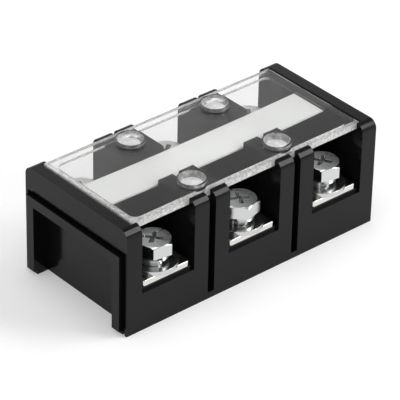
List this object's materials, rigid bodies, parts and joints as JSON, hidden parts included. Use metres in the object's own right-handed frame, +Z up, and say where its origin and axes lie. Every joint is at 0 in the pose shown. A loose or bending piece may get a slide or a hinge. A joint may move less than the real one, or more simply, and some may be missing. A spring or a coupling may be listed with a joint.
{
  "type": "barrier terminal strip",
  "caption": "Row of screw terminals in a black moulded base with open wire entries on both sides, a white marking strip and a clear lift-off cover.",
  "frame": {"origin": "centre of the overall box, on the mounting surface", "axes": "+X along the row of poles with the joining pad at the low end, front face to -Y, +Z up from the mounting surface"},
  "size_m": [0.0922, 0.0448, 0.0348],
  "materials": {
    "black_plastic": "glossy",
    "clear_plastic": "clear and glossy",
    "white_plastic": "matte",
    "plated_bar": "bright nickel plate",
    "plated_steel": "bright zinc plate"
  },
  "bodies": {
    "base": {"housing": "black_plastic", "marking_strip": "white_plastic", "terminal_bar_1": "plated_bar", "terminal_bar_2": "plated_bar", "terminal_bar_3": "plated_bar", "nut_front_1": "plated_steel", "nut_front_2": "plated_steel", "nut_front_3": "plated_steel", "nut_rear_1": "plated_steel", "nut_rear_2": "plated_steel", "nut_rear_3": "plated_steel"},
    "washers_front_1": {"spring_washer_front_1": "plated_steel", "flat_washer_front_1": "plated_steel"},
    "screw_front_1": {"screw_front_1": "plated_steel"},
    "washers_front_2": {"spring_washer_front_2": "plated_steel", "flat_washer_front_2": "plated_steel"},
    "screw_front_2": {"screw_front_2": "plated_steel"},
    "washers_front_3": {"spring_washer_front_3": "plated_steel", "flat_washer_front_3": "plated_steel"},
    "screw_front_3": {"screw_front_3": "plated_steel"},
    "washers_rear_1": {"spring_washer_rear_1": "plated_steel", "flat_washer_rear_1": "plated_steel"},
    "screw_rear_1": {"screw_rear_1": "plated_steel"},
    "washers_rear_2": {"spring_washer_rear_2": "plated_steel", "flat_washer_rear_2": "plated_steel"},
    "screw_rear_2": {"screw_rear_2": "plated_steel"},
    "washers_rear_3": {"spring_washer_rear_3": "plated_steel", "flat_washer_rear_3": "plated_steel"},
    "screw_rear_3": {"screw_rear_3": "plated_steel"},
    "cover": {"cover": "clear_plastic"}
  },
  "joints": [
    {"name": "screw_front_1_rise", "type": "slide", "parent": "base", "child": "washers_front_1", "axis": [0, 0, 1], "range_m": [0, 0.007]},
    {"name": "screw_front_1_turn", "type": "hinge", "parent": "washers_front_1", "child": "screw_front_1", "pos_m": [-0.03035, -0.0155, 0.01929], "axis": [0, 0, 1], "range_deg": [0, 2524]},
    {"name": "screw_front_2_rise", "type": "slide", "parent": "base", "child": "washers_front_2", "axis": [0, 0, 1], "range_m": [0, 0.007]},
    {"name": "screw_front_2_turn", "type": "hinge", "parent": "washers_front_2", "child": "screw_front_2", "pos_m": [0.00065, -0.0155, 0.01929], "axis": [0, 0, 1], "range_deg": [0, 2524]},
    {"name": "screw_front_3_rise", "type": "slide", "parent": "base", "child": "washers_front_3", "axis": [0, 0, 1], "range_m": [0, 0.007]},
    {"name": "screw_front_3_turn", "type": "hinge", "parent": "washers_front_3", "child": "screw_front_3", "pos_m": [0.03165, -0.0155, 0.01929], "axis": [0, 0, 1], "range_deg": [0, 2524]},
    {"name": "screw_rear_1_rise", "type": "slide", "parent": "base", "child": "washers_rear_1", "axis": [0, 0, 1], "range_m": [0, 0.007]},
    {"name": "screw_rear_1_turn", "type": "hinge", "parent": "washers_rear_1", "child": "screw_rear_1", "pos_m": [-0.03035, 0.0155, 0.01929], "axis": [0, 0, 1], "range_deg": [0, 2524]},
    {"name": "screw_rear_2_rise", "type": "slide", "parent": "base", "child": "washers_rear_2", "axis": [0, 0, 1], "range_m": [0, 0.007]},
    {"name": "screw_rear_2_turn", "type": "hinge", "parent": "washers_rear_2", "child": "screw_rear_2", "pos_m": [0.00065, 0.0155, 0.01929], "axis": [0, 0, 1], "range_deg": [0, 2524]},
    {"name": "screw_rear_3_rise", "type": "slide", "parent": "base", "child": "washers_rear_3", "axis": [0, 0, 1], "range_m": [0, 0.007]},
    {"name": "screw_rear_3_turn", "type": "hinge", "parent": "washers_rear_3", "child": "screw_rear_3", "pos_m": [0.03165, 0.0155, 0.01929], "axis": [0, 0, 1], "range_deg": [0, 2524]},
    {"name": "cover_lift", "type": "slide", "parent": "base", "child": "cover", "axis": [0, 0, 1], "range_m": [0, 0.012]}
  ],
  "couplings": [
    {"joint": "screw_front_1_turn", "follows": "screw_front_1_rise", "rad_per_m": 6283.2},
    {"joint": "screw_front_2_turn", "follows": "screw_front_2_rise", "rad_per_m": 6283.2},
    {"joint": "screw_front_3_turn", "follows": "screw_front_3_rise", "rad_per_m": 6283.2},
    {"joint": "screw_rear_1_turn", "follows": "screw_rear_1_rise", "rad_per_m": 6283.2},
    {"joint": "screw_rear_2_turn", "follows": "screw_rear_2_rise", "rad_per_m": 6283.2},
    {"joint": "screw_rear_3_turn", "follows": "screw_rear_3_rise", "rad_per_m": 6283.2}
  ]
}
